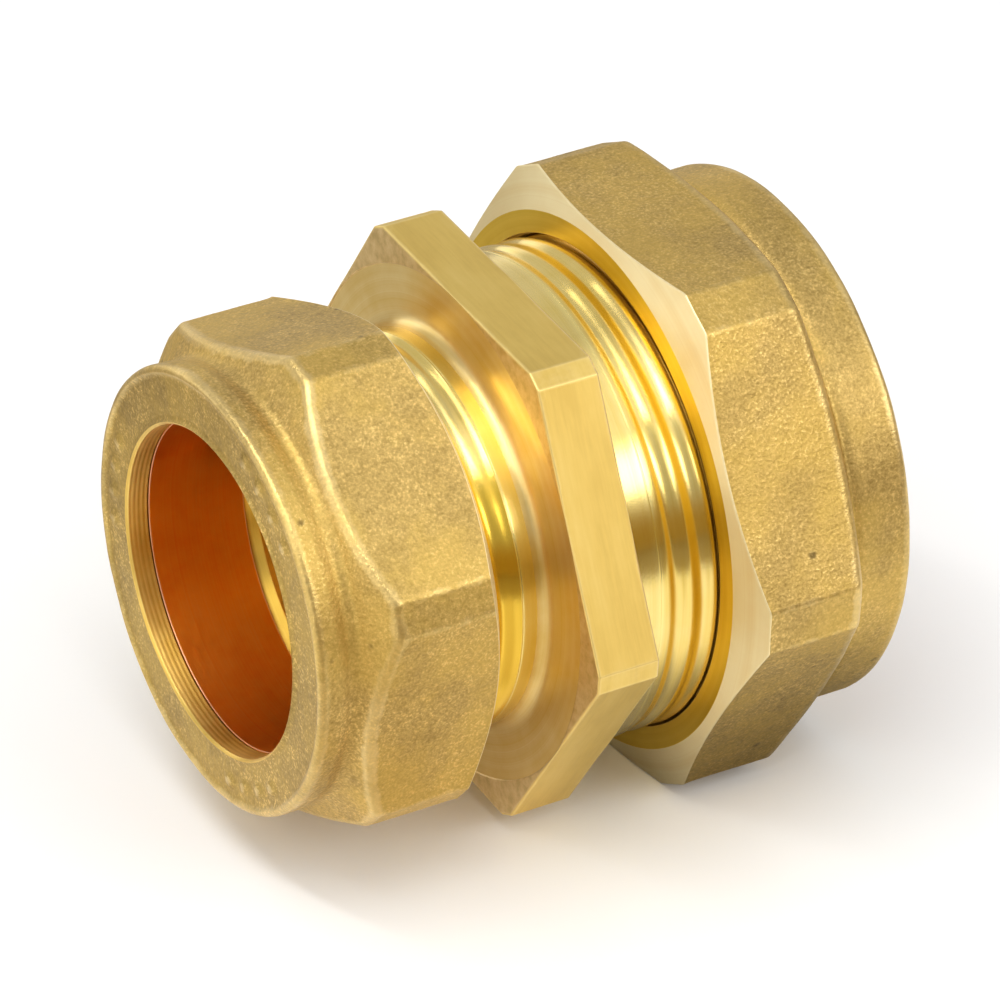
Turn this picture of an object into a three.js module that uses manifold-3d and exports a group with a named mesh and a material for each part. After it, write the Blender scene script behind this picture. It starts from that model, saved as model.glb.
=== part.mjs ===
// Reducing compression coupler for copper pipe, 28 mm to 22 mm. Millimetres, +Z up.
// It lies on one flat of its larger nut. The pipe axis runs along X at the height of that nut's
// centre, with the 22 mm end at -X and the 28 mm end at +X.
// Each piece is built round its own Y axis, with distances along Y counted from the outer face
// of the nut at its end, and angles counted from +Z. The groups at the end place the pieces.
import * as THREE from "three";
import { mergeVertices } from "three/addons/utils/BufferGeometryUtils.js";
import Module from "manifold-3d";

const wasm = await Module();
wasm.setup();

// The whole fitting
const COUPLER_LENGTH = 42;
const AXIS_HEIGHT = 19; // half the larger nut's spanner size

// The body's middle hexagon and waterway, along Y from the 22 mm nut's outer face
const HEX = { flats: 35, corner: 19.83, turn: 32.5, near: 17.4, far: 21.85 };
const WATERWAY = { radius: 10, near: 18, far: 20.6 };

// The 22 mm end
const SMALL = {
  size: "22",
  socket: 11.1, // radius of the nut's pipe hole and of the body's pipe socket
  thread: { radius: 13.2, depth: 0.96, pitch: 1.5, crestAt: 15.1 },
  nut: { flats: 31.4, corner: 17.44, turn: 10, length: 13, mouth: 14.9, mouthSlope: 30 },
  collar: { radius: 14.9, length: 2.5, shoulder: 1.75 },
  lip: 1.55, // length of the nut's pipe hole
  olive: { start: 1.95, length: 6.7, radius: 12.35 },
  body: { start: 8, mouth: 12, threadEnd: 15.7, neckStart: 16.75, neck: 13.4 },
  face: HEX.near,
};

// The 28 mm end
const LARGE = {
  size: "28",
  socket: 14.1,
  thread: { radius: 16.6, depth: 1.16, pitch: 1.814, crestAt: 16.7 },
  nut: { flats: 38, corner: 21.05, turn: 30, length: 13.8, mouth: 18.3, mouthSlope: 22 },
  collar: { radius: 18, length: 4.2, shoulder: 1 },
  lip: 1.6,
  olive: { start: 2, length: 7.5, radius: 15.4 },
  body: { start: 8.8, mouth: 15.1, threadEnd: 17.9, neckStart: 18, neck: 16.6 },
  face: COUPLER_LENGTH - HEX.far,
};

// Details that both ends share
const CLEARANCE = 0.3; // between male and female thread, along the radius
const FLANK = Math.tan(THREE.MathUtils.degToRad(27.5)); // thread flanks lean 27.5 degrees
const SEAT = Math.tan(THREE.MathUtils.degToRad(30)); // olives and body seats lean 30 degrees
const COLLAR_ROUND = 0.8;
const COLLAR_GROOVE = { depth: 0.35, half: 0.25 };
const BORE_BEVEL = 0.25;
const OLIVE_WALL = { end: 0.13, bore: 0.03 }; // edge thickness, and how much under the socket
const NECK_FILLET = 0.7;
const RELIEF = { start: 4.9, end: 5.9, ramp: 0.6, extra: 0.1 }; // run-out groove inside a nut
const COUNTERSINK = { length: 0.8, extra: 0.25 };
const SINK = 0.2; // how far a thread's ridge is buried in the core under it
const SPARE = 0.1; // overshoot of shapes that only cut others
const ROUND_STEPS = 36;
const THREAD_STEPS = 36;

const rootOf = (thread) => thread.radius - thread.depth;

// Booleans on closed geometries. Triangles that collapse to a line on the axis are dropped.
function solidOf(geometry) {
  const bare = geometry.clone();
  bare.deleteAttribute("normal");
  bare.deleteAttribute("uv");
  const merged = mergeVertices(bare, 1e-4);
  const index = merged.index.array;
  const kept = [];
  for (let i = 0; i < index.length; i += 3) {
    const [a, b, c] = index.slice(i, i + 3);
    if (a !== b && b !== c && c !== a) {
      kept.push(a, b, c);
    }
  }
  const vertProperties = merged.attributes.position.array;
  const triVerts = new Uint32Array(kept);
  return new wasm.Manifold(new wasm.Mesh({ numProp: 3, vertProperties, triVerts }));
}

function geometryOf(solid) {
  const { vertProperties, triVerts } = solid.getMesh();
  const indexed = new THREE.BufferGeometry();
  indexed.setAttribute("position", new THREE.BufferAttribute(vertProperties, 3));
  indexed.setIndex(new THREE.BufferAttribute(triVerts, 1));
  const geometry = indexed.toNonIndexed();
  geometry.computeVertexNormals();
  return geometry;
}

const join = (a, ...rest) =>
  geometryOf(rest.reduce((solid, other) => solid.add(solidOf(other)), solidOf(a)));
const cut = (a, ...rest) =>
  geometryOf(rest.reduce((solid, other) => solid.subtract(solidOf(other)), solidOf(a)));
const common = (a, b) => geometryOf(solidOf(a).intersect(solidOf(b)));

// A solid of revolution round Y. The outline lists [distance along Y, radius] and closes on itself.
function turned(outline) {
  const points = outline.map(([along, radius]) => new THREE.Vector2(radius, along));
  if (THREE.ShapeUtils.area(points) < 0) {
    points.reverse();
  }
  return new THREE.LatheGeometry([...points, points[0]], ROUND_STEPS);
}

// Outline points of a round that replaces the given corner.
function rounded(from, corner, to, steps) {
  const [a, b, c] = [from, corner, to].map((point) => new THREE.Vector2(...point));
  return new THREE.QuadraticBezierCurve(a, b, c).getPoints(steps).map(({ x, y }) => [x, y]);
}

// A hexagonal bar along Y. Its corners are cut off square at the given distance from the axis.
function hexagon({ flats, corner, turn }, start, end) {
  const shape = new THREE.Shape();
  const halfFacet = (flats / Math.sqrt(3) - corner) * Math.sqrt(3);
  const points = [];
  for (let k = 0; k < 6; k += 1) {
    const middle = THREE.MathUtils.degToRad(60 * k + turn);
    for (const side of [-halfFacet, halfFacet]) {
      const x = corner * Math.sin(middle) + side * Math.cos(middle);
      const z = corner * Math.cos(middle) - side * Math.sin(middle);
      points.push(new THREE.Vector2(x, -z));
    }
  }
  shape.setFromPoints(points);
  const bar = new THREE.ExtrudeGeometry(shape, { depth: end - start, bevelEnabled: false });
  return bar.rotateX(-Math.PI / 2).translate(0, start, 0);
}

// A right-handed thread's ridge: a straight bar with the thread's section, wound round Y.
// It covers the stretch from start to end, and moves out by growth to cut the female thread.
function woundRidge(thread, start, end, growth) {
  const { radius, depth, pitch, crestAt } = thread;
  const crest = (pitch - 2 * depth * FLANK) / 4;
  const base = crest + (depth + SINK) * FLANK;
  const section = new THREE.Shape();
  section.moveTo(-base, radius + growth - depth - SINK);
  section.lineTo(base, radius + growth - depth - SINK);
  section.lineTo(crest, radius + growth);
  section.lineTo(-crest, radius + growth);

  const turnsBefore = Math.ceil((crestAt - start) / pitch) + 1;
  const first = crestAt - turnsBefore * pitch;
  const turns = Math.ceil((end - first) / pitch) + 1;
  const bar = new THREE.ExtrudeGeometry(section, {
    depth: turns * 2 * Math.PI,
    steps: turns * THREAD_STEPS,
    bevelEnabled: false,
  });
  const position = bar.attributes.position;
  for (let i = 0; i < position.count; i += 1) {
    const angle = position.getZ(i);
    const along = first + position.getX(i) + (pitch * angle) / (2 * Math.PI);
    const reach = position.getY(i);
    position.setXYZ(i, reach * Math.sin(angle), along, reach * Math.cos(angle));
  }
  return bar;
}

// The male thread, tapered at the pipe's end and where it runs out.
function maleThread({ thread, body }) {
  const root = rootOf(thread);
  const full = thread.radius + SPARE;
  const taper = full - root;
  const envelope = turned([
    [body.start, 0],
    [body.start, root],
    [body.start + taper, full],
    [body.threadEnd - taper / 2, full],
    [body.threadEnd, root],
    [body.threadEnd, 0],
  ]);
  return common(woundRidge(thread, body.start, body.threadEnd, 0), envelope);
}

// One end of the body up to the hexagon, without its pipe socket.
function bodyEnd(end) {
  const { thread, body, face } = end;
  const root = rootOf(thread);
  const step = body.neck - root;
  const fillet = rounded(
    [face - NECK_FILLET, body.neck],
    [face, body.neck],
    [face, body.neck + NECK_FILLET],
    3,
  );
  const core = turned([
    [body.start, 0],
    [body.start, root],
    [body.neckStart - step / 2, root],
    [body.neckStart, body.neck],
    ...fillet,
    [face + 1, body.neck + NECK_FILLET],
    [face + 1, 0],
  ]);
  return join(core, maleThread(end));
}

// The pipe socket of one end: the olive's seat, then the bore as far as the pipe's stop.
function socket({ socket: radius, body }, stop) {
  const slope = (body.mouth - radius) / SEAT;
  return turned([
    [body.start - SPARE, 0],
    [body.start - SPARE, body.mouth + SPARE * SEAT],
    [body.start + slope, radius],
    [stop, radius],
    [stop, 0],
  ]);
}

// Turns a shape of the 28 mm end round to the 28 mm end's place on the body.
const faceAbout = (geometry) => geometry.rotateZ(Math.PI).translate(0, COUPLER_LENGTH, 0);

function couplingBody() {
  const middle = hexagon(HEX, HEX.near, HEX.far);
  const outside = join(middle, bodyEnd(SMALL), faceAbout(bodyEnd(LARGE)));
  const waterway = turned([
    [WATERWAY.near - 1, 0],
    [WATERWAY.near - 1, WATERWAY.radius],
    [WATERWAY.far + 1, WATERWAY.radius],
    [WATERWAY.far + 1, 0],
  ]);
  const smallSocket = socket(SMALL, WATERWAY.near);
  const largeSocket = faceAbout(socket(LARGE, COUPLER_LENGTH - WATERWAY.far));
  return cut(outside, waterway, smallSocket, largeSocket);
}

// The outside of a nut: round collar, groove, forged shoulder, hexagon and chamfered mouth.
function nutOutside({ nut, collar }) {
  const full = nut.corner + SPARE;
  const shoulderStart = collar.length + 2 * COLLAR_GROOVE.half;
  const chamfer = (full - nut.mouth) * Math.tan(THREE.MathUtils.degToRad(nut.mouthSlope));
  const outline = turned([
    [0, 0],
    ...rounded(
      [0, collar.radius - COLLAR_ROUND],
      [0, collar.radius],
      [COLLAR_ROUND, collar.radius],
      3,
    ),
    [collar.length, collar.radius],
    [collar.length + COLLAR_GROOVE.half, collar.radius - COLLAR_GROOVE.depth],
    [shoulderStart, collar.radius],
    [shoulderStart + collar.shoulder, full],
    [nut.length - chamfer, full],
    [nut.length, nut.mouth],
    [nut.length, 0],
  ]);
  return common(hexagon(nut, -1, nut.length + 1), outline);
}

// The inside of a nut: pipe hole, olive seat and chamber, run-out groove, and female thread.
function nutInside({ nut, thread, socket: hole, lip }) {
  const chamber = rootOf(thread) + CLEARANCE;
  const relief = thread.radius + CLEARANCE + RELIEF.extra;
  const mouth = thread.radius + CLEARANCE + COUNTERSINK.extra;
  const cavity = turned([
    [-SPARE, 0],
    [-SPARE, hole + BORE_BEVEL + SPARE],
    [BORE_BEVEL, hole],
    [lip, hole],
    [lip + chamber - hole, chamber],
    [RELIEF.start - RELIEF.ramp, chamber],
    [RELIEF.start, relief],
    [RELIEF.end, relief],
    [RELIEF.end + RELIEF.ramp, chamber],
    [nut.length - COUNTERSINK.length, chamber],
    [nut.length, mouth],
    [nut.length + SPARE, mouth],
    [nut.length + SPARE, 0],
  ]);
  const threaded = turned([
    [RELIEF.end - SPARE, 0],
    [RELIEF.end - SPARE, relief],
    [nut.length + SPARE, relief],
    [nut.length + SPARE, 0],
  ]);
  const ridge = woundRidge(thread, RELIEF.end, nut.length, CLEARANCE);
  return [cavity, common(ridge, threaded)];
}

const compressionNut = (end) => cut(nutOutside(end), ...nutInside(end));

// A barrel-shaped ring that the nut squeezes onto the pipe: both ends taper to a thin edge.
function oliveRing({ olive, socket: hole }) {
  const bore = hole - OLIVE_WALL.bore;
  const edge = bore + OLIVE_WALL.end;
  const taper = (olive.radius - edge) / SEAT;
  const end = olive.start + olive.length;
  return turned([
    [olive.start, bore],
    [olive.start, edge],
    [olive.start + taper, olive.radius],
    [end - taper, olive.radius],
    [end, edge],
    [end, bore],
  ]);
}

const turnedBrass = new THREE.MeshStandardMaterial({
  color: 0xdcb54c,
  roughness: 0.25,
  metalness: 1,
});
const forgedBrass = new THREE.MeshStandardMaterial({
  color: 0xc2a055,
  roughness: 0.5,
  metalness: 1,
});
const copper = new THREE.MeshStandardMaterial({
  color: 0xb4602c,
  roughness: 0.35,
  metalness: 1,
});

function piece(name, geometry, material) {
  const mesh = new THREE.Mesh(geometry, material);
  mesh.name = name;
  return mesh;
}

// Everything at one end of the body, along that end's own Y axis.
function loosePieces(end) {
  const group = new THREE.Group();
  group.add(piece(`nut_${end.size}`, compressionNut(end), forgedBrass));
  group.add(piece(`olive_${end.size}`, oliveRing(end), copper));
  return group;
}

const smallEnd = loosePieces(SMALL);
const largeEnd = loosePieces(LARGE);
largeEnd.rotation.z = Math.PI;
largeEnd.position.y = COUPLER_LENGTH;

const fitting = new THREE.Group();
fitting.add(piece("coupling_body", couplingBody(), turnedBrass), smallEnd, largeEnd);
fitting.rotation.z = -Math.PI / 2;
fitting.position.set(-COUPLER_LENGTH / 2, 0, AXIS_HEIGHT);

const group = new THREE.Group();
group.add(fitting);

export default group;
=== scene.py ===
"""The look of a reducing compression coupler: two forged nuts screwed onto a turned brass body.

Every piece is one closed grid of vertices wrapped round the pipe axis. Its rows follow the
piece's section, and its columns follow the twelve-sided outline of its hexagon. Sections are in
millimetres: "along" counts from the outer face of the nut at that end, "radius" from the axis.
"""

import math
from collections import namedtuple

import bpy
import numpy as np
from mathutils import Matrix, Vector


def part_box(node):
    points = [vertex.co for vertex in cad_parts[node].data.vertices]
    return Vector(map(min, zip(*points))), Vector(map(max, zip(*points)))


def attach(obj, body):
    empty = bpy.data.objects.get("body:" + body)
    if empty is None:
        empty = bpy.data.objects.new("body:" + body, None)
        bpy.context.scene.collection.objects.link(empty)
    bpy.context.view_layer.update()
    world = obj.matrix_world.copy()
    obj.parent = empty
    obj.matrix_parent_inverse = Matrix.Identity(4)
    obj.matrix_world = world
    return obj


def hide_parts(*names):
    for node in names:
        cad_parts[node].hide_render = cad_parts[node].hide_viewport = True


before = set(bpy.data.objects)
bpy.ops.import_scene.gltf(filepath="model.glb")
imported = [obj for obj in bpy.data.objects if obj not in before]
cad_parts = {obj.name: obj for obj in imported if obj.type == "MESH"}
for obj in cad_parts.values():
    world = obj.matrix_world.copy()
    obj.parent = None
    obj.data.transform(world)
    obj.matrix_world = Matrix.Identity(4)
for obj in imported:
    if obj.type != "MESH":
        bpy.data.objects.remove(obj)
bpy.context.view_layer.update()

MM = 0.001
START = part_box("nut_22")[0].x  # outer face of the 22 mm nut
LENGTH = (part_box("nut_28")[1].x - START) / MM
AXIS_Z = (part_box("nut_28")[0].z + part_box("nut_28")[1].z) / 2

# The body's middle hexagon and the waterway through it
HEX = {"flats": 35.0, "corner": 19.83, "turn": 32.5, "soft": 0.16, "near": 17.4, "far": 21.85}
HEX_FACE = {"turned": 17.38, "recess": 0.09, "step": 0.05}
WATERWAY = {"radius": 10.0, "near": 18.0, "far": 20.6}

SMALL = {
    "size": "22",
    "side": 1,
    "socket": 11.1,
    "thread": {"radius": 13.2, "depth": 0.96, "pitch": 1.5, "crest_at": 14.67},
    "nut": {"flats": 31.4, "corner": 17.44, "turn": 10.0, "soft": 0.9, "length": 13.0,
            "mouth": 14.9, "mouth_slope": 30.0},
    "collar": {"radius": 15.05, "length": 2.5, "shoulder": 1.75, "round": 0.5, "blend": 1.0},
    "lip": 1.55,
    "olive": {"start": 1.68, "end": 8.65, "radius": 12.35},
    "body": {"start": 8.0, "mouth": 12.0, "neck_start": 15.6, "neck": 13.4,
             "full_depth_to": 12.2},
    "face": HEX["near"],
}
LARGE = {
    "size": "28",
    "side": -1,
    "socket": 14.1,
    "thread": {"radius": 16.6, "depth": 1.16, "pitch": 1.814, "crest_at": 16.28},
    "nut": {"flats": 38.0, "corner": 21.05, "turn": 30.0, "soft": 0.7, "length": 13.8,
            "mouth": 18.3, "mouth_slope": 22.0},
    "collar": {"radius": 18.2, "length": 4.2, "shoulder": 1.0, "round": 0.5, "blend": 0.5},
    "lip": 1.6,
    "olive": {"start": 1.73, "end": 9.5, "radius": 15.4},
    "body": {"start": 8.8, "mouth": 15.1, "neck_start": 18.0, "neck": 16.6,
             "full_depth_to": 13.0},
    "face": LENGTH - HEX["far"],
}

CLEARANCE = 0.3  # between male and female thread
FLANK = math.tan(math.radians(27.5))
SEAT = math.tan(math.radians(30.0))
RELIEF = {"start": 4.9, "end": 5.9, "ramp": 0.6, "extra": 0.1}
COUNTERSINK = {"length": 1.5, "land": 0.55, "gap": 0.14, "taper": 0.05}
GROOVE = {"depth": 0.35, "half": 0.25}  # round the nut between collar and shoulder
BORE_BEVEL = 0.2
LIP_GROOVES = {"count": 4, "depth": 0.018}
OLIVE_WALL = {"end": 0.12, "bore": 0.03}
NECK_FILLET = 0.9
MARK_HEIGHT = 0.18  # raised pips on a collar's face
MARK_GROUPS = (20, 140, 262)
MARKS_IN_GROUP = 4
MARK_STEP = 9.0
PIP = {"radius": 0.62, "edge": 0.24, "outward": 0.1}  # outward of the middle of the face
FACE_RAMP = {"outer": 0.3, "inner": 0.25}  # widths over which a collar's face sinks to its level
COLLAR_TAPER = 0.05
COLLAR_FOOT = 1.6  # round where the collar turns down into its groove
VALLEY_ROUND = 1.0
SHOULDER_ROUND = 0.75
SHOULDER_SPARE = 0.1  # the shoulder's cone would end this far outside the hexagon's corners
THREAD_SOFTNESS = 0.1  # how much of a flank its rounded crest and root take
FORGED_WAVINESS = 0.07
WAVE_SPREAD = 5.2  # brings a sum of waves to between 0 and 1
RUN_OUT_DEPTH = 0.19  # share of the thread's depth left where it meets the neck
RUN_OUT_OVER = 0.8  # length over which the thread grows shallow
NECK_RISE_OVER = 0.9  # length over which the crest rises to the neck

# Rounding and mesh spacing
OUTLINE_ARC_STEPS = 4
ROUND_SHARE = 0.45  # the most that one round takes of a section's line
STRAIGHT = math.radians(89.5)
SUPPORT = 0.1  # rows this near a round keep the shading of the flat beside it flat
COLUMN_STEP = 0.42
BODY_COLUMN_STEP = 0.72
ROW_STEP = 0.55
THREAD_STEP = 0.075
RUN_OUT_STEP = 0.12
INNER_THREAD_STEP = 0.13
WEAR_REACH = 4.0
ON_FLAT = 0.03  # a row of a nut this near its outline lies on the hexagon
ON_HEX = 0.05  # the same for the body
FLAT_EDGE_WEAR = 0.25  # forged edges count as this far from a worn one
TOUCH = 0.01  # two lengths this near count as the same

Corner = namedtuple("Corner", "along radius round steps zone spacing worn")


def corner(along, radius, zone, round=0.08, steps=3, spacing=ROW_STEP, worn=False):
    """A point of a section. Its zone and spacing are those of the line that leaves it."""
    return Corner(along, radius, round, steps, zone, spacing, worn)


def unit(vectors):
    """The vectors at length 1."""
    length = np.linalg.norm(vectors, axis=-1, keepdims=True)
    return vectors / np.maximum(length, 1e-12)


def eased(share):
    """A share between 0 and 1 that starts and ends gently."""
    return share * share * (3 - 2 * share)


def hexagon_outline(flats, corner, turn, soft, step=COLUMN_STEP):
    """A hexagon with cut corners and rounded edges: angles, radii, distance to the next edge."""
    sides = []
    for k in range(6):
        sides.append((turn + 60 * k, corner))
        sides.append((turn + 60 * k + 30, flats / 2))
    arcs = []
    for i, (angle, reach) in enumerate(sides):
        next_reach = sides[(i + 1) % len(sides)][1]
        a, b = math.radians(angle), math.radians(angle + 30)
        normals = np.array([[math.cos(a), math.sin(a)], [math.cos(b), math.sin(b)]])
        centre = np.linalg.solve(normals, [reach - soft, next_reach - soft])
        sweep = np.linspace(a, b, OUTLINE_ARC_STEPS + 1)
        arcs.append(centre + soft * np.stack([np.cos(sweep), np.sin(sweep)], axis=1))
    points, edge = [], []
    for i, arc_points in enumerate(arcs):
        points.extend(arc_points)
        edge.extend([0.0] * len(arc_points))
        start, end = arc_points[-1], arcs[(i + 1) % len(arcs)][0]
        gap = np.linalg.norm(end - start)
        near = min(SUPPORT, gap / 3)
        parts = max(1, round((gap - 2 * near) / step))
        for distance in np.linspace(near, gap - near, parts + 1):
            points.append(start + (end - start) * distance / gap)
            edge.append(min(distance, gap - distance))
    points = np.array(points)
    angles = np.unwrap(np.arctan2(points[:, 1], points[:, 0]))
    return angles, np.linalg.norm(points, axis=1), np.array(edge)


def arc(before, at, after, radius, steps):
    """Points of the round that replaces a corner, for every column at once."""
    if steps == 0:
        return [at]
    back, ahead = unit(before - at), unit(after - at)
    half = np.arccos(np.clip(np.sum(back * ahead, axis=1), -1, 1)) / 2
    half = np.minimum(half, STRAIGHT)
    room = ROUND_SHARE * np.minimum(
        np.linalg.norm(before - at, axis=1), np.linalg.norm(after - at, axis=1)
    )
    setback = np.minimum(radius / np.tan(half), room)[:, None]
    sweep = (math.pi - 2 * half)[:, None]
    start, end = at + back * setback, at + ahead * setback
    centre = at + unit(back + ahead) * setback / np.cos(half)[:, None]
    points = []
    for share in np.linspace(0, 1, steps + 1):
        turned = np.sin((1 - share) * sweep) * (start - centre)
        turned = turned + np.sin(share * sweep) * (end - centre)
        points.append(centre + turned / np.sin(sweep))
    return points


def section_rows(corners, count):
    """Rows of a closed section: positions (rows, columns, 2), zone names and wear distances."""
    points = [
        np.stack([np.full(count, c.along, float), np.full(count, c.radius, float)], axis=1)
        for c in corners
    ]
    arcs = [
        arc(points[i - 1], points[i], points[(i + 1) % len(points)], c.round, c.steps)
        for i, c in enumerate(corners)
    ]
    rows, zones, at_edge = [], [], []
    for i, c in enumerate(corners):
        for point in arcs[i]:
            rows.append(point)
            zones.append(c.zone)
            at_edge.append(c.worn)
        start, end = arcs[i][-1], arcs[(i + 1) % len(arcs)][0]
        gap = np.linalg.norm(end - start, axis=1)
        near = np.minimum(SUPPORT, gap / 3)[:, None] / np.maximum(gap, 1e-9)[:, None]
        parts = max(1, math.ceil((gap.max() - 2 * SUPPORT) / c.spacing))
        for share in np.linspace(0, 1, parts + 1):
            t = near + (1 - 2 * near) * share
            rows.append(start + (end - start) * t)
            zones.append(c.zone)
            at_edge.append(False)
    rows = np.array(rows)
    return rows, zones, wear_distance(rows, np.array(at_edge))


def wear_distance(rows, at_edge):
    """Distance of each row, along the section, from the nearest edge that wears."""
    steps = np.linalg.norm(np.roll(rows, -1, axis=0) - rows, axis=2)
    travelled = np.cumsum(steps, axis=0) - steps
    total = steps.sum(axis=0)
    nearest = np.full(travelled.shape, WEAR_REACH)
    for row in np.flatnonzero(at_edge):
        apart = np.abs(travelled - travelled[row])
        nearest = np.minimum(nearest, np.minimum(apart, total - apart))
    return nearest


def thread_height(thread, along, angles, side, worn=0.0, groove=1.0):
    """Height of the thread's ridge above its root: cut to full depth, or a wave where worn."""
    crest = thread["crest_at"] + side * thread["pitch"] * angles / (2 * math.pi)
    turns = (along - crest[None, :]) / thread["pitch"]
    from_crest = np.abs(turns - np.round(turns)) * thread["pitch"]
    flank = thread["depth"] * FLANK
    flat = (thread["pitch"] - 2 * flank) / 4
    soft = THREAD_SOFTNESS
    rise = (flat + flank - from_crest) / flank
    rise = np.logaddexp(0, rise / soft) * soft
    cut = rise - np.logaddexp(0, (rise - 1) / soft) * soft
    wave = 1 - RUN_OUT_DEPTH * groove * (0.5 - 0.5 * np.cos(2 * math.pi * turns))
    return thread["depth"] * ((1 - worn) * cut + worn * wave)


def wavy(points, seed, longest=7.0, shortest=1.6, waves=26):
    """Smooth random unevenness between 0 and 1 at points given in millimetres."""
    rng = np.random.default_rng(seed)
    total = np.zeros(points.shape[:-1])
    weight = 0.0
    for _ in range(waves):
        length = rng.uniform(shortest, longest)
        direction = unit(rng.normal(size=3))
        share = length / longest
        phase = rng.uniform(0, 6.28)
        total += share * np.sin(points @ direction * 2 * math.pi / length + phase)
        weight += share * share / 2
    return np.clip(0.5 + total / (WAVE_SPREAD * math.sqrt(weight)), 0, 1)


def place(rows, angles):
    """Section rows to points in millimetres from the axis and the 22 mm nut's face."""
    along, radius = rows[..., 0], rows[..., 1]
    return np.stack([along, -radius * np.sin(angles), radius * np.cos(angles)], axis=-1)


def grid_normals(points):
    """Normals of a closed grid, pointing out of it."""
    down = np.roll(points, -1, axis=0) - np.roll(points, 1, axis=0)
    across = np.roll(points, -1, axis=1) - np.roll(points, 1, axis=1)
    normals = unit(np.cross(down, across))
    reach = np.hypot(points[..., 1], points[..., 2])
    outermost = np.unravel_index(np.argmax(reach), reach.shape)
    outward = points[outermost] * [0, 1, 1]
    return normals if normals[outermost] @ outward > 0 else -normals


def grid_piece(name, points, zones, materials, wear):
    """A mesh object from a closed grid of points in millimetres."""
    row_count, column_count = points.shape[:2]
    vertices = points.reshape(-1, 3) * MM + [START, 0, AXIS_Z]
    index = np.arange(row_count * column_count).reshape(row_count, column_count)
    below, right = np.roll(index, -1, axis=0), np.roll(index, -1, axis=1)
    quads = np.stack([index, right, np.roll(below, -1, axis=1), below], axis=-1).reshape(-1, 4)
    corners = vertices[quads]
    facing = np.cross(corners[:, 1] - corners[:, 3], corners[:, 2] - corners[:, 0])
    volume = np.einsum("ij,ij->", corners[:, 0], facing)
    if volume > 0:
        quads = quads[:, ::-1]
    mesh = bpy.data.meshes.new(name)
    mesh.from_pydata(vertices.tolist(), [], quads.tolist())
    names = list(dict.fromkeys(zones))
    for zone in names:
        mesh.materials.append(materials[zone])
    slots = np.repeat([names.index(zone) for zone in zones], column_count)
    mesh.polygons.foreach_set("material_index", slots.astype(np.int32))
    mesh.shade_smooth()
    edge = mesh.attributes.new("edge", "FLOAT", "POINT")
    edge.data.foreach_set("value", np.minimum(wear, WEAR_REACH).astype(np.float32).ravel())
    mesh.update()
    piece = bpy.data.objects.new(name, mesh)
    bpy.context.scene.collection.objects.link(piece)
    return piece


def roughened(points, zones, forged_zones, seed):
    """Moves forged surfaces inward by their unevenness, fading out where a machined one starts."""
    mask = np.array([1.0 if zone in forged_zones else 0.0 for zone in zones])
    for _ in range(2):
        mask = np.minimum(mask, (np.roll(mask, 1) + mask + np.roll(mask, -1)) / 3)
    depth = FORGED_WAVINESS * wavy(points, seed) * mask[:, None]
    return points - grid_normals(points) * depth[..., None]


def marks(radius, angles, ring):
    """Height, from 0 to 1, of groups of round pips on a ring."""
    height = np.zeros(radius.shape)
    for group in MARK_GROUPS:
        for k in range(MARKS_IN_GROUP):
            middle = math.radians(group + k * MARK_STEP)
            turned = angles - middle
            apart = np.hypot(radius * np.cos(turned) - ring, radius * np.sin(turned))
            height = np.maximum(height, np.clip((PIP["radius"] - apart) / PIP["edge"], 0, 1))
    return eased(height)


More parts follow.
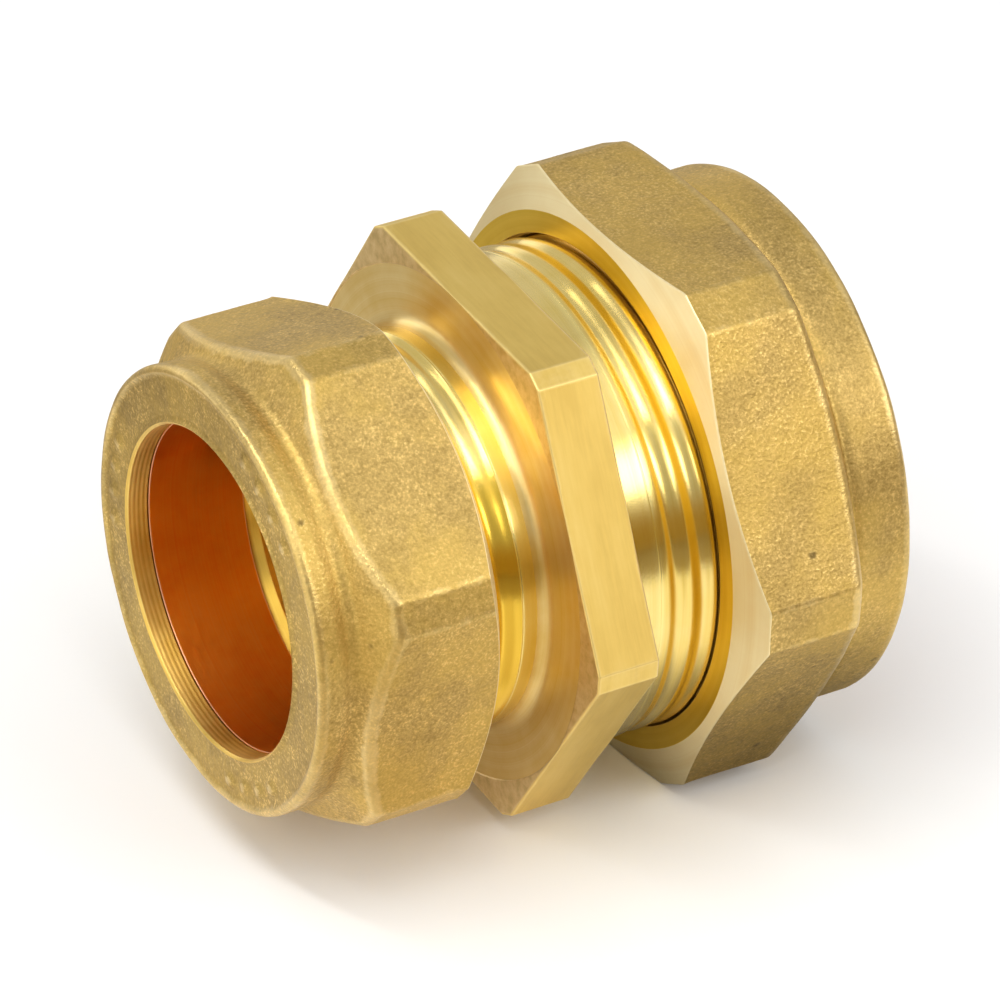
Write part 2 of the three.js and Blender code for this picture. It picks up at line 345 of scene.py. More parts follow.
def nut(end, materials):
    """A compression nut: collar, groove, forged hexagon, turned mouth, and a threaded inside."""
    size, thread, collar = end["nut"], end["thread"], end["collar"]
    hexagon = {key: size[key] for key in ("flats", "corner", "turn", "soft")}
    angles, reach, hex_edge = hexagon_outline(**hexagon)
    hole, lip, length = end["socket"], end["lip"], size["length"]
    full = size["corner"] + SHOULDER_SPARE
    shoulder_start = collar["length"] + 2 * GROOVE["half"]
    share = (reach - collar["radius"]) / (full - collar["radius"])
    shoulder_end = shoulder_start + collar["shoulder"] * share
    slope = math.tan(math.radians(size["mouth_slope"]))
    chamfer_start = length - (reach - size["mouth"]) * slope
    chamber = thread["radius"] - thread["depth"] + CLEARANCE
    relief = thread["radius"] + CLEARANCE + RELIEF["extra"]
    mouth = thread["radius"] + COUNTERSINK["gap"]
    valley = collar["length"] + GROOVE["half"]
    corners = [
        corner(0, hole + BORE_BEVEL, "collar_face", spacing=0.16),
        corner(0, collar["radius"], "forged", collar["round"], 8, worn=True),
        corner(collar["length"] - collar["blend"], collar["radius"] - COLLAR_TAPER,
               "forged", COLLAR_FOOT, 5, 0.3),
        corner(valley, collar["radius"] - GROOVE["depth"],
               "forged", VALLEY_ROUND + collar["blend"], 8, 0.3),
        corner(shoulder_end, reach, "forged", SHOULDER_ROUND, 8, worn=True),
        corner(chamfer_start, reach, "chamfer", 0.1, 3, 0.4),
        corner(length, size["mouth"], "rim", 0.06, 3, 0.25),
        corner(length, mouth, "inside", 0.06, 3, 0.2),
        corner(length - COUNTERSINK["land"], mouth - COUNTERSINK["taper"],
               "inside", 0, 0, INNER_THREAD_STEP),
        corner(length - COUNTERSINK["length"], chamber, "inside", 0, 0, INNER_THREAD_STEP),
        corner(RELIEF["end"] + RELIEF["ramp"], chamber, "inside", 0, 0, INNER_THREAD_STEP),
        corner(RELIEF["end"], relief, "inside"),
        corner(RELIEF["start"], relief, "inside"),
        corner(RELIEF["start"] - RELIEF["ramp"], chamber, "inside"),
        corner(lip + chamber - hole, chamber, "inside"),
        corner(lip, hole, "lip", 0.08, 3, 0.05),
        corner(BORE_BEVEL, hole, "lip", 0.08, 3),
    ]
    rows, zones, wear = section_rows(corners, len(angles))
    along, radius = rows[..., 0], rows[..., 1]

    threaded = (along > RELIEF["end"]) & (np.array(zones) == "inside")[:, None]
    ridge = chamber + thread_height(thread, along, angles, 1)
    ridge = np.minimum(ridge, relief)
    on_land = along > length - COUNTERSINK["land"]
    ridge = np.where(on_land, np.minimum(ridge, mouth), ridge)
    radius[:] = np.where(threaded, np.maximum(radius, ridge), radius)

    face = (np.array(zones) == "collar_face")[:, None]
    pips = marks(radius, angles, (hole + collar["radius"]) / 2 + PIP["outward"]) * face
    sunk = MARK_HEIGHT * (1 - pips)
    flat = np.clip((collar["radius"] - collar["round"] - radius) / FACE_RAMP["outer"], 0, 1)
    inner = np.clip((radius - hole - BORE_BEVEL) / FACE_RAMP["inner"], 0, 1)
    along += np.where(face, sunk * flat * inner, 0)

    grooved = (np.array(zones) == "lip")[:, None] & (radius < hole + TOUCH)
    groove_phase = (along - BORE_BEVEL) / (lip - BORE_BEVEL) * LIP_GROOVES["count"]
    ripple = 0.5 - 0.5 * np.cos(2 * math.pi * groove_phase)
    radius += np.where(grooved, LIP_GROOVES["depth"] * ripple, 0)

    outside = np.array([zone in ("forged", "chamfer") for zone in zones])[:, None]
    on_flats = outside & (radius > reach - ON_FLAT)
    corner_wear = np.where(on_flats, FLAT_EDGE_WEAR + hex_edge, WEAR_REACH)
    wear = np.minimum(wear, corner_wear)
    wear = np.minimum(wear, WEAR_REACH * (1 - pips))
    points = roughened(place(rows, angles), zones, ("forged", "collar_face"), int(end["size"]))
    return placed_at_end(end, points, zones, materials, wear, "nut")


def placed_at_end(end, points, zones, materials, wear, what):
    """Builds a piece of one end, turned round to its place if it's the far end's."""
    if end["side"] < 0:
        points = points * [-1, -1, 1] + [LENGTH, 0, 0]
    return grid_piece(f"{what}_{end['size']}_look", points, zones, materials, wear)


def olive(end, materials):
    """A barrel-shaped copper ring with tapered ends."""
    size = end["olive"]
    bore = end["socket"] - OLIVE_WALL["bore"]
    rim = bore + OLIVE_WALL["end"]
    taper = (size["radius"] - rim) / SEAT
    first, last = size["start"], size["end"]
    angles = np.linspace(0, 2 * math.pi, 240, endpoint=False)
    corners = [
        corner(first, bore, "copper", 0.03, 2, worn=True),
        corner(first, rim, "copper", 0.05, 3, 0.4, worn=True),
        corner(first + taper, size["radius"], "copper", 0.9, 8),
        corner(last - taper, size["radius"], "copper", 0.9, 8),
        corner(last, rim, "copper", 0.05, 3, worn=True),
        corner(last, bore, "copper", 0.03, 2, 0.35, worn=True),
    ]
    rows, zones, wear = section_rows(corners, len(angles))
    return placed_at_end(end, place(rows, angles), zones, materials, wear, "olive")


def body_end(end):
    """Corners of one end of the body, from its seat over the thread to the hexagon's edge."""
    thread, size, face = end["thread"], end["body"], end["face"]
    root = thread["radius"] - thread["depth"]
    step = size["neck"] - root
    sunk = face + HEX_FACE["recess"]
    turned = HEX_FACE["turned"]
    zone = "thread_" + end["size"]
    return [
        corner(size["start"], size["mouth"], "bore", 0.05, 2),
        corner(size["start"], root, zone, 0.05, 2, THREAD_STEP),
        corner(size["full_depth_to"] + RUN_OUT_OVER / 2, root, zone, 0, 0, RUN_OUT_STEP),
        corner(size["neck_start"] - step / 2, root, zone, 0.12, 3, 0.1),
        corner(size["neck_start"], size["neck"], "neck", 0.18, 4, 0.2, worn=True),
        corner(sunk, size["neck"], "turned_face", NECK_FILLET, 8, 0.2),
        corner(sunk, turned, "hex_corner", 0.03, 2, 0.05),
        corner(face, turned + HEX_FACE["step"], "hex_corner", 0.03, 2, 0.25),
    ]


def mirrored(corners):
    """The same section seen from the other end of the fitting."""
    turned = []
    for i in range(len(corners) - 1, -1, -1):
        c = corners[i]
        follows = corners[i - 1] if i > 0 else c
        along = LENGTH - c.along
        turned.append(c._replace(along=along, zone=follows.zone, spacing=follows.spacing))
    return turned


def coupling_body(materials):
    """The body: two threaded ends, a hexagon between them and the pipe sockets inside."""
    hexagon = {key: HEX[key] for key in ("flats", "corner", "turn", "soft")}
    angles, reach, hex_edge = hexagon_outline(**hexagon, step=BODY_COLUMN_STEP)
    far_end = mirrored(body_end(LARGE))
    far_end[-1] = far_end[-1]._replace(zone="bore", spacing=0.2)
    edges = [
        corner(HEX["near"], reach, "hex_flat", 0.12, 3, 0.5, worn=True),
        corner(HEX["far"], reach, "hex_corner", 0.12, 3, 0.25, worn=True),
    ]
    seats = [
        end["body"]["start"] + (end["body"]["mouth"] - end["socket"]) / SEAT
        for end in (SMALL, LARGE)
    ]
    inside = [
        corner(LENGTH - seats[1], LARGE["socket"], "bore", 0.15, 3),
        corner(WATERWAY["far"], LARGE["socket"], "bore", 0.1, 3),
        corner(WATERWAY["far"], WATERWAY["radius"], "bore", 0.1, 3),
        corner(WATERWAY["near"], WATERWAY["radius"], "bore", 0.1, 3),
        corner(WATERWAY["near"], SMALL["socket"], "bore", 0.1, 3),
        corner(seats[0], SMALL["socket"], "bore", 0.15, 3),
    ]
    corners = body_end(SMALL) + edges + far_end + inside
    rows, zones, wear = section_rows(corners, len(angles))
    along, radius = rows[..., 0], rows[..., 1]
    zone_names = np.array(zones)
    for end in (SMALL, LARGE):
        thread, size, side = end["thread"], end["body"], end["side"]
        local = along if side > 0 else LENGTH - along
        root = thread["radius"] - thread["depth"]
        worn = np.clip((local - size["full_depth_to"]) / RUN_OUT_OVER, 0, 1)
        groove = np.clip((size["neck_start"] - local) / thread["pitch"] * 2, 0, 1)
        height = thread_height(thread, local, angles, side, worn, groove)
        rise = np.clip((local - size["neck_start"]) / NECK_RISE_OVER + 1, 0, 1)
        height = height + (size["neck"] - thread["radius"]) * eased(rise)
        height = np.minimum(height, np.clip(local - size["start"], 0, None))
        within = np.isin(zone_names, ("thread_" + end["size"], "neck"))[:, None]
        within = within & (local > size["start"] - TOUCH)
        within = within & (local <= size["neck_start"])
        radius[:] = np.where(within, np.maximum(radius, root + height), radius)
    on_flat = (zone_names == "hex_flat")[:, None]
    outer = radius > HEX["flats"] / 2 - ON_HEX
    wear = np.minimum(wear, np.where(on_flat & outer, hex_edge, WEAR_REACH))
    return grid_piece("coupling_body_look", place(rows, angles), zones, materials, wear)


# Materials


def add(tree, kind, inputs=None, **settings):
    """A node with its settings made and its inputs set or linked."""
    node = tree.nodes.new(kind)
    for key, value in settings.items():
        setattr(node, key, value)
    for key, value in (inputs or {}).items():
        if isinstance(value, bpy.types.NodeSocket):
            tree.links.new(value, node.inputs[key])
        else:
            node.inputs[key].default_value = value
    return node


def calc(tree, operation, first, second=0.0, clamp=False):
    """A Math node's result."""
    inputs = {0: first, 1: second}
    return add(tree, "ShaderNodeMath", inputs, operation=operation, use_clamp=clamp).outputs[0]


def weighted(tree, *parts):
    """The sum of values, each times its weight."""
    total = None
    for value, weight in parts:
        term = calc(tree, "MULTIPLY", value, weight)
        total = term if total is None else calc(tree, "ADD", total, term)
    return total


def span(tree, value, low, high, at_low=0.0, at_high=1.0):
    """A value carried smoothly from the range low..high to at_low..at_high."""
    inputs = {
        "Value": value,
        "From Min": low,
        "From Max": high,
        "To Min": at_low,
        "To Max": at_high,
    }
    return add(tree, "ShaderNodeMapRange", inputs, interpolation_type="SMOOTHSTEP").outputs[0]


def blend(tree, factor, first, second):
    """A Mix node between two colours."""
    inputs = {0: factor, 6: first, 7: second}
    return add(tree, "ShaderNodeMix", inputs, data_type="RGBA").outputs[2]


def colour_ramp(tree, value, stops):
    """A colour ramp through (position, colour) stops."""
    node = add(tree, "ShaderNodeValToRGB", {0: value})
    elements = node.color_ramp.elements
    while len(elements) < len(stops):
        elements.new(0.5)
    for element, (position, colour) in zip(elements, stops):
        element.position = position
        element.color = colour
    return node.outputs[0]


def noise(tree, vector, size, detail=3.0, roughness=0.55, distortion=0.0):
    """Noise between 0 and 1 whose features are about that many millimetres across."""
    inputs = {
        "Vector": vector,
        "Scale": 1 / (size * MM),
        "Detail": detail,
        "Roughness": roughness,
        "Distortion": distortion,
    }
    return add(tree, "ShaderNodeTexNoise", inputs).outputs[0]


def cells(tree, vector, size, randomness=1.0):
    """Distance to the nearest of scattered points, about that many millimetres apart."""
    inputs = {"Vector": vector, "Scale": 1 / (size * MM), "Randomness": randomness}
    return add(tree, "ShaderNodeTexVoronoi", inputs).outputs["Distance"]


def metal(name):
    """A new all-metal material: the material, its tree, its shader and object coordinates."""
    material = bpy.data.materials.new(name)
    material.use_nodes = True
    tree = material.node_tree
    tree.nodes.clear()
    shader = tree.nodes.new("ShaderNodeBsdfPrincipled")
    output = tree.nodes.new("ShaderNodeOutputMaterial")
    tree.links.new(shader.outputs["BSDF"], output.inputs["Surface"])
    shader.inputs["Metallic"].default_value = 1.0
    place_on_piece = add(tree, "ShaderNodeTexCoord").outputs["Object"]
    return material, tree, shader, place_on_piece


def dress(tree, shader, base, roughness, relief):
    """Gives a shader its colour, roughness and bump."""
    tree.links.new(base, shader.inputs["Base Color"])
    tree.links.new(roughness, shader.inputs["Roughness"])
    tree.links.new(relief, shader.inputs["Normal"])


def turned_place(tree, position):
    """Coordinates that don't change round the pipe axis: along it, and the distance from it."""
    parts = add(tree, "ShaderNodeSeparateXYZ", {0: position}).outputs
    height = calc(tree, "SUBTRACT", parts[2], AXIS_Z)
    across = calc(tree, "MULTIPLY", parts[1], parts[1])
    squared = calc(tree, "ADD", calc(tree, "MULTIPLY", height, height), across)
    radius = calc(tree, "SQRT", squared)
    return add(tree, "ShaderNodeCombineXYZ", {0: parts[0], 1: radius}).outputs[0]


def stretched(tree, position, scale):
    """Coordinates scaled along each axis, for streaks."""
    return add(tree, "ShaderNodeMapping", {"Vector": position, "Scale": scale}).outputs[0]


def bump(tree, height, distance, normal=None):
    """A bump whose full height is that many millimetres."""
    inputs = {"Height": height, "Distance": distance * MM, "Strength": 1.0}
    if normal is not None:
        inputs["Normal"] = normal
    return add(tree, "ShaderNodeBump", inputs).outputs[0]


def edge_wear(tree, position, reach, unevenness):
    """1 on worn edges, falling unevenly to 0 at about that many millimetres from them."""
    distance = add(tree, "ShaderNodeAttribute", attribute_name="edge").outputs["Fac"]
    patches = noise(tree, position, 1.1, 4.0, 0.65)
    distance = calc(tree, "ADD", distance, calc(tree, "MULTIPLY", patches, unevenness))
    return span(tree, distance, reach + unevenness * 0.5, unevenness * 0.42)


def forged_brass(name, shade):
    """Hot-forged, shot-blasted brass: grey-tan with golden mottling, worn bright on its edges."""
    material, tree, shader, position = metal(name)
    blotches = noise(tree, position, 4.5, 3.0, 0.5)
    mottle = noise(tree, position, 0.5, 4.0, 0.72)
    grain = noise(tree, position, 0.19, 2.0, 0.6)
    tone = weighted(tree, (blotches, 0.16), (mottle, 0.4), (grain, 0.44))
    base = colour_ramp(tree, tone, [
        (0.36, (0.34 * shade, 0.225 * shade, 0.07 * shade, 1)),
        (0.46, (0.48 * shade, 0.33 * shade, 0.11 * shade, 1)),
        (0.54, (0.60 * shade, 0.415 * shade, 0.145 * shade, 1)),
        (0.64, (0.80, 0.56, 0.20, 1)),
    ])
    gold_tint = span(tree, noise(tree, position, 7.0, 4.0, 0.6), 0.36, 0.64, 0.08, 0.45)
    base = blend(tree, gold_tint, base, (0.79 * shade, 0.535 * shade, 0.12 * shade, 1))
    specks = span(tree, cells(tree, position, 2.6), 0.16, 0.05)
    specked = span(tree, noise(tree, position, 3.0), 0.52, 0.62)
    specks = calc(tree, "MULTIPLY", specks, specked)
    base = blend(tree, calc(tree, "MULTIPLY", specks, 0.75), base, (0.12, 0.08, 0.03, 1))
    wear = edge_wear(tree, position, 0.35, 0.8)
    patchy = span(tree, noise(tree, position, 9.0, 2.0), 0.4, 0.62, 0.2, 0.5)
    base = blend(tree, calc(tree, "MULTIPLY", wear, patchy), base, (0.92, 0.71, 0.34, 1))
    # Glints are partly painted: scattered grains painted paler gold as painted highlights, and
    # also made smoother.
    glinting = span(tree, blotches, 0.46, 0.58, 0.2, 1.0)
    glints = calc(tree, "MULTIPLY", span(tree, grain, 0.56, 0.68), glinting)
    base = blend(tree, calc(tree, "MULTIPLY", glints, 0.3), base, (0.96, 0.72, 0.28, 1))
    roughness = calc(tree, "ADD", 0.40, calc(tree, "MULTIPLY", mottle, 0.22))
    roughness = calc(tree, "SUBTRACT", roughness, calc(tree, "MULTIPLY", glints, 0.08))
    roughness = calc(tree, "SUBTRACT", roughness, calc(tree, "MULTIPLY", wear, 0.12))
    dimples = cells(tree, position, 0.28)
    relief = bump(tree, grain, 0.022)
    relief = bump(tree, dimples, 0.012, relief)
    relief = bump(tree, noise(tree, position, 1.6, 3.0), 0.05, relief)
    dress(tree, shader, base, roughness, relief)
    return material


# Heights of the painted gold on the 22 mm thread, a painted reflection: full below, none on the
# top where the highlight falls.
PAINTED_GOLD_HEIGHTS = {"none_above": 0.0325, "full_below": 0.0290, "uneven": 0.003}  # metres off the floor


def turned_brass(
    name, pale, deep, roughness, anisotropy, line_depth, line_size=0.13, gold_tint=None
):
    """Brass cut on a lathe: fine rings round the axis, soft changes of tone, and any painted gold.

    The painted gold is a painted reflection: saturated gold over all but the top of the piece,
    which stays paler for the highlight.
    """
    material, tree, shader, position = metal(name)
    ring_place = turned_place(tree, position)
    fine = noise(tree, ring_place, line_size, 3.0, 0.6)
    broad = noise(tree, ring_place, 0.8, 2.0)
    stain = noise(tree, position, 4.0, 4.0, 0.6)
    tone = weighted(tree, (broad, 0.4), (fine, 0.25), (stain, 0.35))
    base = blend(tree, span(tree, tone, 0.35, 0.65), deep, pale)
    wear = edge_wear(tree, position, 0.25, 0.3)
    bright = tuple(min(1.0, channel * 1.12) for channel in pale[:3]) + (1,)
    base = blend(tree, calc(tree, "MULTIPLY", wear, 0.6), base, bright)
    # Painted reflection: saturated gold over all but the top, where the highlight stays paler.
    if gold_tint:
        height = add(tree, "ShaderNodeSeparateXYZ", {0: position}).outputs[2]
        height = calc(tree, "ADD", height, calc(tree, "MULTIPLY", stain, PAINTED_GOLD_HEIGHTS["uneven"]))
        painted_gold_below = span(tree, height, PAINTED_GOLD_HEIGHTS["none_above"], PAINTED_GOLD_HEIGHTS["full_below"])
        base = blend(tree, painted_gold_below, base, gold_tint)
    gloss = calc(tree, "ADD", roughness - 0.05, calc(tree, "MULTIPLY", stain, 0.1))
    relief = bump(tree, fine, line_depth)
    relief = bump(tree, noise(tree, position, 0.25, 3.0), 0.002, relief)
    shader.inputs["Anisotropic"].default_value = anisotropy
    shader.inputs["Anisotropic Rotation"].default_value = 0.25
    tangent = add(tree, "ShaderNodeTangent", direction_type="RADIAL", axis="X").outputs[0]
    tree.links.new(tangent, shader.inputs["Tangent"])
    dress(tree, shader, base, gloss, relief)
    return material


def drawn_brass():
    """The body's hexagon: drawn bar with fine lines round it and faint bands."""
    material, tree, shader, position = metal("drawn_brass")
    streaks = noise(tree, stretched(tree, position, (1.0, 0.06, 0.06)), 0.22, 4.0, 0.65)
    bands = noise(tree, stretched(tree, position, (1.0, 0.2, 0.2)), 1.6, 3.0)
    stain = noise(tree, position, 5.0, 4.0, 0.6)
    tone = weighted(tree, (bands, 0.4), (streaks, 0.3), (stain, 0.3))
    base = colour_ramp(tree, tone, [
        (0.38, (0.73, 0.51, 0.135, 1)),
        (0.50, (0.80, 0.575, 0.16, 1)),
        (0.62, (0.84, 0.62, 0.195, 1)),
    ])
    wear = edge_wear(tree, position, 0.15, 0.25)
    base = blend(tree, calc(tree, "MULTIPLY", wear, 0.4), base, (0.97, 0.78, 0.36, 1))
    gloss = calc(tree, "ADD", 0.40, calc(tree, "MULTIPLY", streaks, 0.14))
    relief = bump(tree, streaks, 0.006)
    relief = bump(tree, noise(tree, position, 0.4, 3.0), 0.003, relief)
    dress(tree, shader, base, gloss, relief)
    return material


def sawn_brass():
    """The hexagon's corners outside the turned face: matte, pale and slightly pink."""
    material, tree, shader, position = metal("sawn_brass")
    mottle = noise(tree, position, 0.9, 5.0, 0.65)
    grain = noise(tree, position, 0.14, 2.0)
    base = colour_ramp(tree, mottle, [
        (0.35, (0.66, 0.49, 0.22, 1)),
        (0.50, (0.78, 0.59, 0.29, 1)),
        (0.66, (0.86, 0.68, 0.38, 1)),
    ])
    wear = edge_wear(tree, position, 0.15, 0.3)
    base = blend(tree, calc(tree, "MULTIPLY", wear, 0.5), base, (0.95, 0.76, 0.38, 1))
    gloss = calc(tree, "ADD", 0.36, calc(tree, "MULTIPLY", mottle, 0.2))
    dress(tree, shader, base, gloss, bump(tree, grain, 0.012))
    return material


def olive_copper():
    """Drawn copper with fine rings and scratches, darker where it has been handled."""
    material, tree, shader, position = metal("olive_copper")
    rings = noise(tree, turned_place(tree, position), 0.12, 4.0, 0.65)
    scratches = noise(tree, stretched(tree, position, (1.0, 0.12, 0.12)), 0.2, 4.0, 0.7)
    stain = noise(tree, position, 3.0, 4.0, 0.6)
    tone = weighted(tree, (stain, 0.5), (rings, 0.5))
    base = colour_ramp(tree, tone, [
        (0.34, (0.97, 0.32, 0.035, 1)),
        (0.50, (1.0, 0.405, 0.05, 1)),
        (0.66, (1.0, 0.46, 0.08, 1)),
    ])
    wear = edge_wear(tree, position, 0.1, 0.15)
    base = blend(tree, wear, base, (0.95, 0.55, 0.33, 1))
    gloss = calc(tree, "ADD", 0.24, calc(tree, "MULTIPLY", scratches, 0.2))
    relief = bump(tree, rings, 0.006)
    relief = bump(tree, scratches, 0.005, relief)
    dress(tree, shader, base, gloss, relief)
    return material


FLOOR = {"half": 3.0, "below": 0.00005}  # metres


def studio_floor():
    """A pale matte floor. The camera sees it plain, and the metal sees it darker in places:
    painted shade.
    """
    material = bpy.data.materials.new("floor")
    material.use_nodes = True
    tree = material.node_tree
    shader = tree.nodes["Principled BSDF"]
    position = add(tree, "ShaderNodeTexCoord").outputs["Object"]
    tone = noise(tree, position, 60.0, 2.0)
    shown = colour_ramp(tree, tone, [(0.3, (0.95, 0.95, 0.945, 1)), (0.7, (0.97, 0.97, 0.965, 1))])
    spot = add(tree, "ShaderNodeSeparateXYZ", {0: position}).outputs
    along, across = spot[0], spot[1]
    aside = calc(tree, "ABSOLUTE", across)

    # Painted shade seen only by the metal: darker under the large nut, in front of the small nut,
    # behind, and far in front
    under = span(tree, aside, 0.016, 0.030, 1.0, 0.0)
    under = calc(tree, "MULTIPLY", under, span(tree, along, -0.004, 0.010))
    under = calc(tree, "MULTIPLY", under, span(tree, along, 0.022, 0.034, 1.0, 0.0))
    reflected = blend(tree, under, shown, (0.30, 0.30, 0.30, 1))
    strip = span(tree, across, -0.014, -0.020)
    strip = calc(tree, "MULTIPLY", strip, span(tree, along, 0.0, -0.008))
    reflected = blend(tree, strip, reflected, (0.66, 0.60, 0.48, 1))
    behind = span(tree, across, 0.028, 0.050)
    reflected = blend(tree, behind, reflected, (0.42, 0.38, 0.30, 1))
    far_in_front = span(tree, across, -0.085, -0.12)
    reflected = blend(tree, far_in_front, reflected, (0.25, 0.20, 0.12, 1))
    seen = add(tree, "ShaderNodeLightPath").outputs["Is Camera Ray"]
    tree.links.new(blend(tree, seen, reflected, shown), shader.inputs["Base Color"])

    # A faint light under the body and the small nut, strongest under the 28 mm thread
    glow = span(tree, aside, 0.011, 0.017, 0.06, 0.0)
    glow = calc(tree, "MULTIPLY", glow, span(tree, along, -0.006, 0.0, 0.4, 1.0))
    glow = calc(tree, "MULTIPLY", glow, span(tree, along, -0.024, -0.020))
    glow = calc(tree, "MULTIPLY", glow, span(tree, along, 0.003, 0.009, 1.0, 0.0))
    glow = calc(tree, "MULTIPLY", glow, calc(tree, "SUBTRACT", 1.0, seen))
    shader.inputs["Emission Color"].default_value = (1.0, 0.95, 0.86, 1)
    tree.links.new(glow, shader.inputs["Emission Strength"])
    shader.inputs["Roughness"].default_value = 0.9
    shader.inputs["Specular IOR Level"].default_value = 0.1
    mesh = bpy.data.meshes.new("floor")
    half = FLOOR["half"]
    outline = [(-half, -half, 0), (half, -half, 0), (half, half, 0), (-half, half, 0)]
    mesh.from_pydata(outline, [], [(0, 1, 2, 3)])
    mesh.materials.append(material)
    floor = bpy.data.objects.new("floor", mesh)
    floor.location.z = -FLOOR["below"]
    bpy.context.scene.collection.objects.link(floor)
    return floor


def softbox(name, direction, distance, width, height, radiance):
    """A rectangular light that faces the fitting. Its radiance is what a mirror would show."""
    data = bpy.data.lights.new(name, "AREA")
    data.shape = "RECTANGLE"
    data.size, data.size_y = width, height
    data.energy = radiance * math.pi * width * height
    lamp = bpy.data.objects.new(name, data)
    towards = Vector(direction).normalized()
    lamp.location = Vector((0, 0, AXIS_Z)) + towards * distance
    lamp.rotation_mode = "QUATERNION"
    lamp.rotation_quaternion = (-towards).to_track_quat("-Z", "Y")
    bpy.context.scene.collection.objects.link(lamp)


def studio_world():
    """A soft studio: bright overhead, a pale backdrop, and a dark room on the camera's side."""
    world = bpy.data.worlds.new("studio")
    world.use_nodes = True
    tree = world.node_tree
    tree.nodes.clear()
    direction = add(tree, "ShaderNodeTexCoord").outputs["Generated"]
    height = add(tree, "ShaderNodeSeparateXYZ", {0: direction}).outputs[2]

    def towards(point, low, high):
        """1 towards a direction, falling to 0 away from it."""
        inputs = {0: direction, 1: Vector(point).normalized()}
        product = add(tree, "ShaderNodeVectorMath", inputs, operation="DOT_PRODUCT")
        return span(tree, product.outputs["Value"], low, high)

    sky = span(tree, height, 0.16, 0.36, 0.0, 1.0)
    backdrop = towards((-0.85, 0.5, 0.0), -0.2, 0.8)
    behind = towards((0.5, 0.85, 0.0), 0.1, 0.9)
    horizon = weighted(tree, (backdrop, 1.15), (behind, 0.38))
    room = span(tree, horizon, 0.0, 0.5, 1.0, 0.0)
    horizon = calc(tree, "ADD", horizon, 0.33)
    front = towards((0.42, -0.5, 0.76), 0.72, 0.98)
    back = towards((0.3, 0.9, 0.35), 0.3, 0.9)
    above = calc(tree, "ADD", 0.44, calc(tree, "MULTIPLY", front, 0.65))
    above = calc(tree, "ADD", above, calc(tree, "MULTIPLY", back, 0.2))
    lit = add(tree, "ShaderNodeMix", {0: sky, 2: horizon, 3: above}, data_type="FLOAT").outputs[0]
    below = span(tree, height, -0.12, -0.3)
    lit = add(tree, "ShaderNodeMix", {0: below, 2: lit, 3: 0.5}, data_type="FLOAT").outputs[0]
    seen = add(tree, "ShaderNodeLightPath").outputs["Is Camera Ray"]
    shown = add(tree, "ShaderNodeMix", {0: seen, 2: lit, 3: 0.97}, data_type="FLOAT").outputs[0]
    walls = calc(tree, "MULTIPLY", room, calc(tree, "SUBTRACT", 1.0, sky))
    walls = calc(tree, "MULTIPLY", walls, calc(tree, "SUBTRACT", 1.0, seen))
    tint = blend(tree, walls, (1, 1, 1, 1), (1.0, 0.66, 0.18, 1))
    background = add(tree, "ShaderNodeBackground", {"Color": tint, "Strength": shown})
    output = add(tree, "ShaderNodeOutputWorld")
    tree.links.new(background.outputs[0], output.inputs["Surface"])
    bpy.context.scene.world = world


# Degrees, and millimetres for the distance, the target and the lens
CAMERA = {
    "azimuth": -31.25,
    "elevation": 33.11,
    "roll": -1.83,
    "distance": 456.45,
    "target": (0.68, -0.04, 19.49),
    "lens": 252.0,
}


def camera():
    """The camera, at the photograph's viewing angle."""
    data = bpy.data.cameras.new("camera")
    data.lens = CAMERA["lens"]
    data.sensor_width = 36.0
    data.clip_start, data.clip_end = 0.01, 20.0
    made = bpy.data.objects.new("camera", data)
    a, e = math.radians(CAMERA["azimuth"]), math.radians(CAMERA["elevation"])
    back = Vector((math.sin(a) * math.cos(e), -math.cos(a) * math.cos(e), math.sin(e)))
    level = (-back).to_track_quat("-Z", "Y").to_matrix().to_4x4()
    roll = Matrix.Rotation(math.radians(-CAMERA["roll"]), 4, "Z")
    spot = (Vector(CAMERA["target"]) + back * CAMERA["distance"]) * MM
    made.matrix_world = Matrix.Translation(spot) @ level @ roll
    bpy.context.scene.collection.objects.link(made)
    bpy.context.scene.camera = made


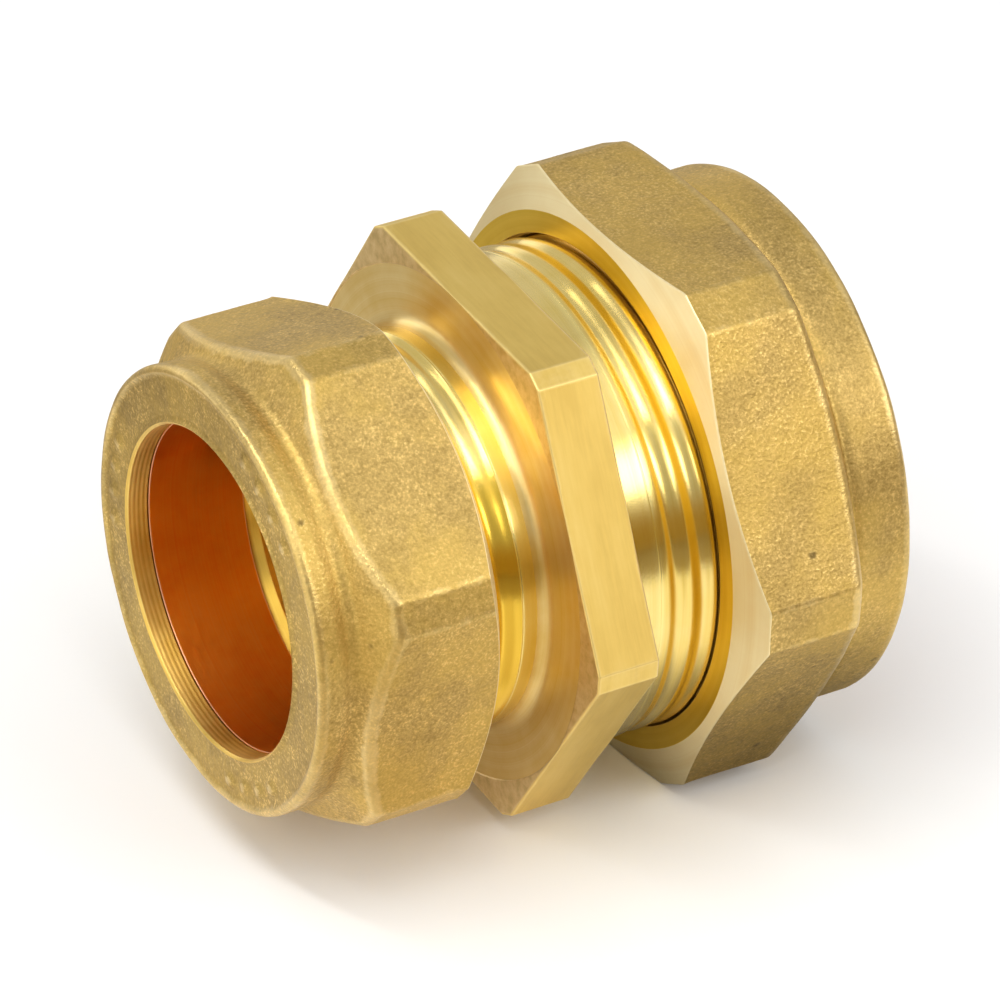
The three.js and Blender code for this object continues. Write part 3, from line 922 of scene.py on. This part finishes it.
bright_cut = {
    "pale": (0.95, 0.74, 0.28, 1),
    "deep": (0.86, 0.63, 0.16, 1),
    "roughness": 0.22,
    "anisotropy": 0.7,
    "line_depth": 0.003,
}
materials = {
    "forged": forged_brass("forged_brass", 0.97),
    # The collar's face takes a darker copy of the forged brass: painted shade.
    "collar_face": forged_brass("face_forged_brass", 0.8),
    "hex_flat": drawn_brass(),
    "hex_corner": sawn_brass(),
    "copper": olive_copper(),
    "lip": turned_brass(
        "lip_brass", (0.95, 0.69, 0.20, 1), (0.68, 0.43, 0.08, 1),
        roughness=0.42, anisotropy=0.85, line_depth=0.014, line_size=0.16,
    ),
    # The 22 mm thread's lower part is painted saturated gold: a painted reflection.
    "thread_22": turned_brass("thread_22_painted_gold", **bright_cut, gold_tint=(0.92, 0.60, 0.075, 1)),
    "thread_28": turned_brass("thread_brass", **bright_cut),
    "neck": turned_brass("neck_brass", **bright_cut),
    "turned_face": turned_brass(
        "face_brass", (0.95, 0.76, 0.37, 1), (0.83, 0.59, 0.18, 1),
        roughness=0.33, anisotropy=0.85, line_depth=0.008,
    ),
    # Pale cream base: painted reflection of the white room the chamfer faces.
    "chamfer": turned_brass(
        "chamfer_brass", (0.98, 0.86, 0.54, 1), (0.92, 0.76, 0.42, 1),
        roughness=0.5, anisotropy=0.5, line_depth=0.004,
    ),
    # Saturated gold base: painted reflection of the golden body hexagon the rim faces.
    "rim": turned_brass(
        "rim_brass", (0.85, 0.59, 0.06, 1), (0.77, 0.51, 0.035, 1),
        roughness=0.36, anisotropy=0.6, line_depth=0.006,
    ),
    "inside": turned_brass(
        "inside_brass", (0.85, 0.62, 0.20, 1), (0.70, 0.48, 0.12, 1),
        roughness=0.3, anisotropy=0.7, line_depth=0.006,
    ),
    "bore": turned_brass(
        "bore_brass", (0.84, 0.57, 0.11, 1), (0.70, 0.45, 0.07, 1),
        roughness=0.3, anisotropy=0.7, line_depth=0.006,
    ),
}

pieces = {"coupling_body": (coupling_body(materials), "turned_brass")}
for fitting_end in (SMALL, LARGE):
    size = fitting_end["size"]
    pieces["nut_" + size] = (nut(fitting_end, materials), "forged_brass")
    pieces["olive_" + size] = (olive(fitting_end, materials), "copper")
for node, (piece, slot) in pieces.items():
    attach(piece, node)
    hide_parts(node)

studio_floor()
studio_world()
lights = (
    # name, direction, distance, width, height, radiance
    ("overhead_strip", (-0.35, -0.14, 0.93), 0.5, 0.55, 0.04, 11.0),
    ("overhead_back", (-0.3, 0.2, 0.93), 0.5, 0.5, 0.05, 2.5),
    ("overhead_left", (-0.5, -0.25, 0.83), 0.52, 0.4, 0.5, 1.0),
    ("front_box", (0.43, -0.73, 0.52), 0.5, 0.35, 0.14, 3.2),
    ("left_key", (-0.93, -0.25, 0.4), 0.6, 0.4, 0.4, 0.9),
)
for light in lights:
    softbox(*light)
camera()
bpy.context.scene.view_settings.view_transform = "Standard"
